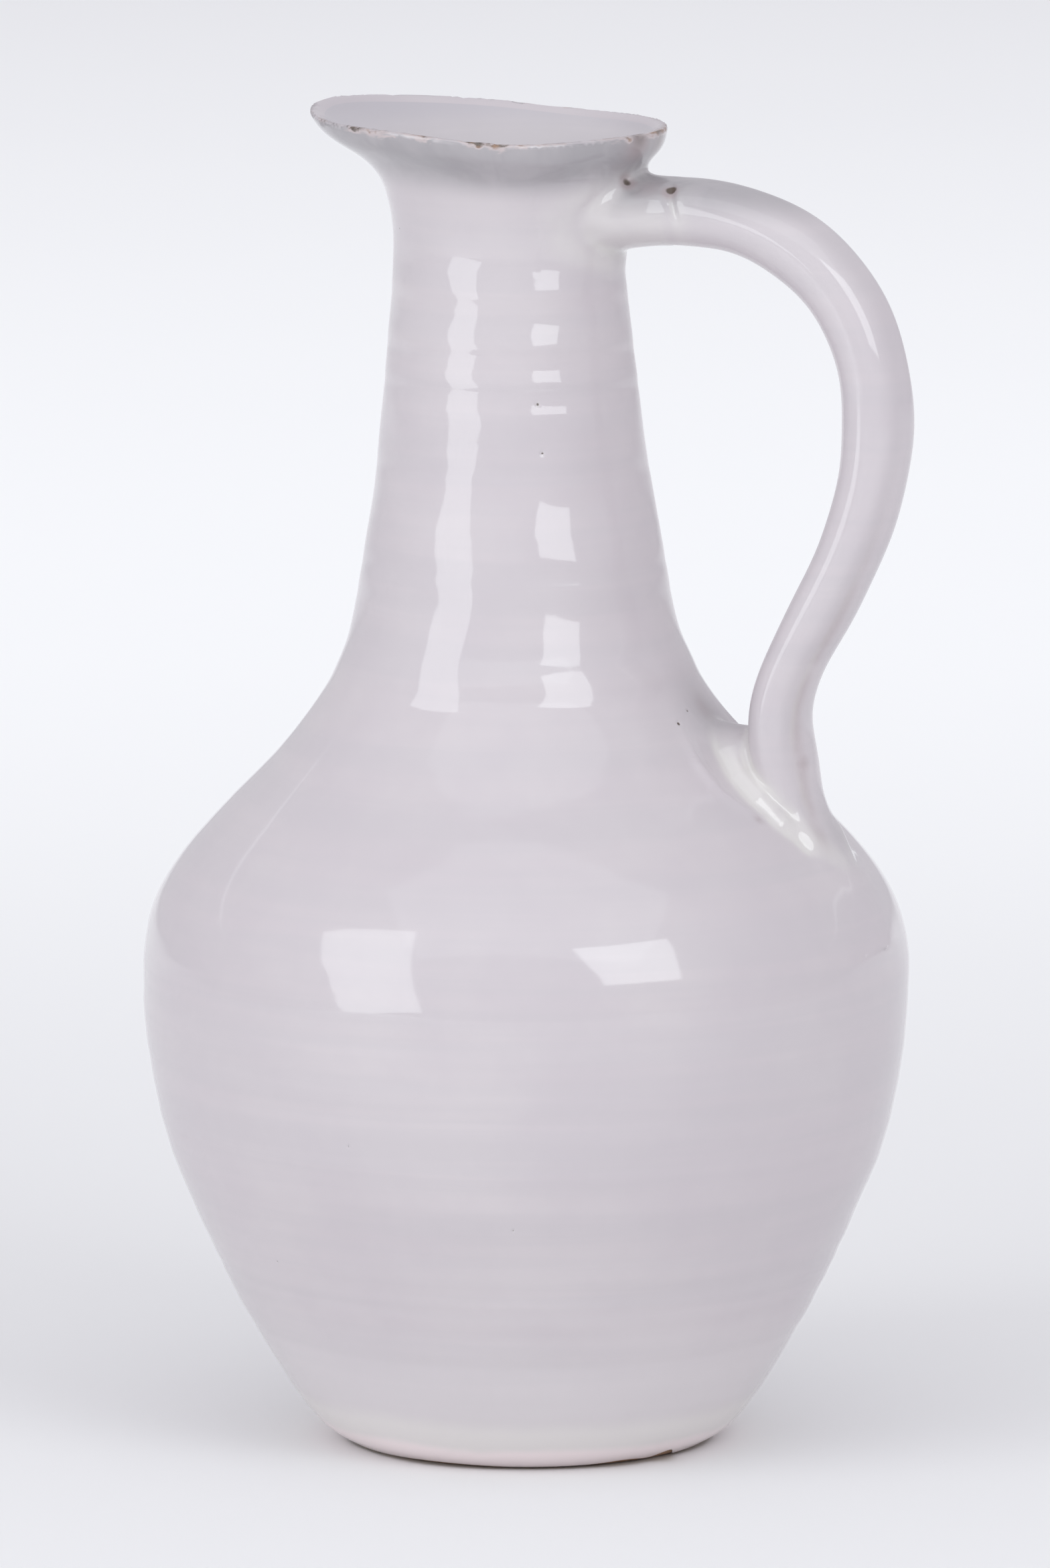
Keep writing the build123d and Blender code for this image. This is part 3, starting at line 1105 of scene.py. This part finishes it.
# ---------------------------------------------------------------- clay pieces
def make_clay():
    """The five fired clay pieces under the glaze."""
    clay = clay_material()
    for node, shape, margin in (
        ("body", clay_body, 4.0),
        ("neck", clay_neck, 8.0),
        ("handle", clay_strap, 6.0),
        ("upper_handle_wad", clay_wad, 6.0),
        ("lower_handle_coil", clay_coil, 6.0),
    ):
        low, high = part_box(node)
        low = np.array(low) / MM - margin
        high = np.array(high) / MM + margin
        points, quads = polygons(shape, low, high, CLAY_CELL)
        mesh = mesh_of(settled(shape, points, 2), quads)
        piece, _ = finished_piece(node + "_clay", mesh, clay, shape)
        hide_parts(node)


# ---------------------------------------------------------------- floor, lights and camera
def make_floor():
    mesh = bmesh.new()
    bmesh.ops.create_grid(mesh, x_segments=8, y_segments=8, size=12.0)
    data = bpy.data.meshes.new("floor")
    mesh.to_mesh(data)
    mesh.free()
    floor = bpy.data.objects.new("floor", data)
    bpy.context.scene.collection.objects.link(floor)
    data.materials.append(floor_material())


# View, in degrees and metres.
VIEW_AZIMUTH = 20.0
VIEW_DISTANCE = 4.5
VIEW_HEIGHT = 0.898
LENS = 401.6
AIM = Vector((-0.00066, -0.00024, 0.1725))
MIDDLE = Vector((0.0, 0.0, 0.17))
LIGHT_COLOR = (0.94, 1.0, 1.0)
WORLD_COLOR = (0.96, 0.94, 1.0)
WORLD_STRENGTH = 0.66


def round_object(azimuth, elevation, distance):
    """A place seen from the object at an azimuth measured from the camera's, in degrees."""
    turn = math.radians(VIEW_AZIMUTH + azimuth)
    rise = math.radians(elevation)
    level = distance * math.cos(rise)
    return Vector((level * math.sin(turn), -level * math.cos(turn), distance * math.sin(rise)))


def make_light(name, place, target, width, height, radiance, roll=0.0):
    """A softbox of a given brightness per area at a place, facing a target."""
    data = bpy.data.lights.new(name, "AREA")
    data.shape = "RECTANGLE"
    data.size = width
    data.size_y = height
    data.energy = radiance * width * height * math.pi
    data.color = LIGHT_COLOR
    light = bpy.data.objects.new(name, data)
    bpy.context.scene.collection.objects.link(light)
    light.location = place
    light.rotation_mode = "QUATERNION"
    facing = (target - place).to_track_quat("-Z", "Y")
    light.rotation_quaternion = facing @ Quaternion((0, 0, 1), math.radians(roll))


def make_lights():
    left = MIDDLE + round_object(-50.0, 19.5, 1.6)
    right = MIDDLE + round_object(35.0, 29.0, 1.6)
    above = MIDDLE + round_object(0.0, 60.0, 2.4)
    make_light("left_softbox", left, MIDDLE, width=0.78, height=1.50, radiance=2.1, roll=20.0)
    make_light("right_softbox", right, MIDDLE, width=0.75, height=0.90, radiance=2.7)
    make_light("front_fill", above, MIDDLE, width=3.0, height=2.0, radiance=0.50)
    behind = round_object(180.0, 40.0, 2.6)
    floor_behind = round_object(180.0, 0.0, 3.2)
    make_light("backdrop_wash", behind, floor_behind, width=7.0, height=3.0, radiance=0.62)


def make_world():
    world = bpy.data.worlds.new("studio")
    bpy.context.scene.world = world
    world.use_nodes = True
    background = world.node_tree.nodes["Background"]
    background.inputs["Color"].default_value = (*WORLD_COLOR, 1.0)
    background.inputs["Strength"].default_value = WORLD_STRENGTH


def make_camera():
    data = bpy.data.cameras.new("camera")
    data.lens = LENS
    data.sensor_width = 36.0
    data.clip_end = 100.0
    camera = bpy.data.objects.new("camera", data)
    bpy.context.scene.collection.objects.link(camera)
    turn = math.radians(VIEW_AZIMUTH)
    place = Vector((math.sin(turn) * VIEW_DISTANCE, -math.cos(turn) * VIEW_DISTANCE, VIEW_HEIGHT))
    camera.location = place
    camera.rotation_mode = "QUATERNION"
    camera.rotation_quaternion = (AIM - place).to_track_quat("-Z", "Y")
    bpy.context.scene.camera = camera


make_camera()
make_world()
make_lights()
make_floor()
bpy.context.scene.view_settings.view_transform = "Standard"
make_clay()
make_glazes()
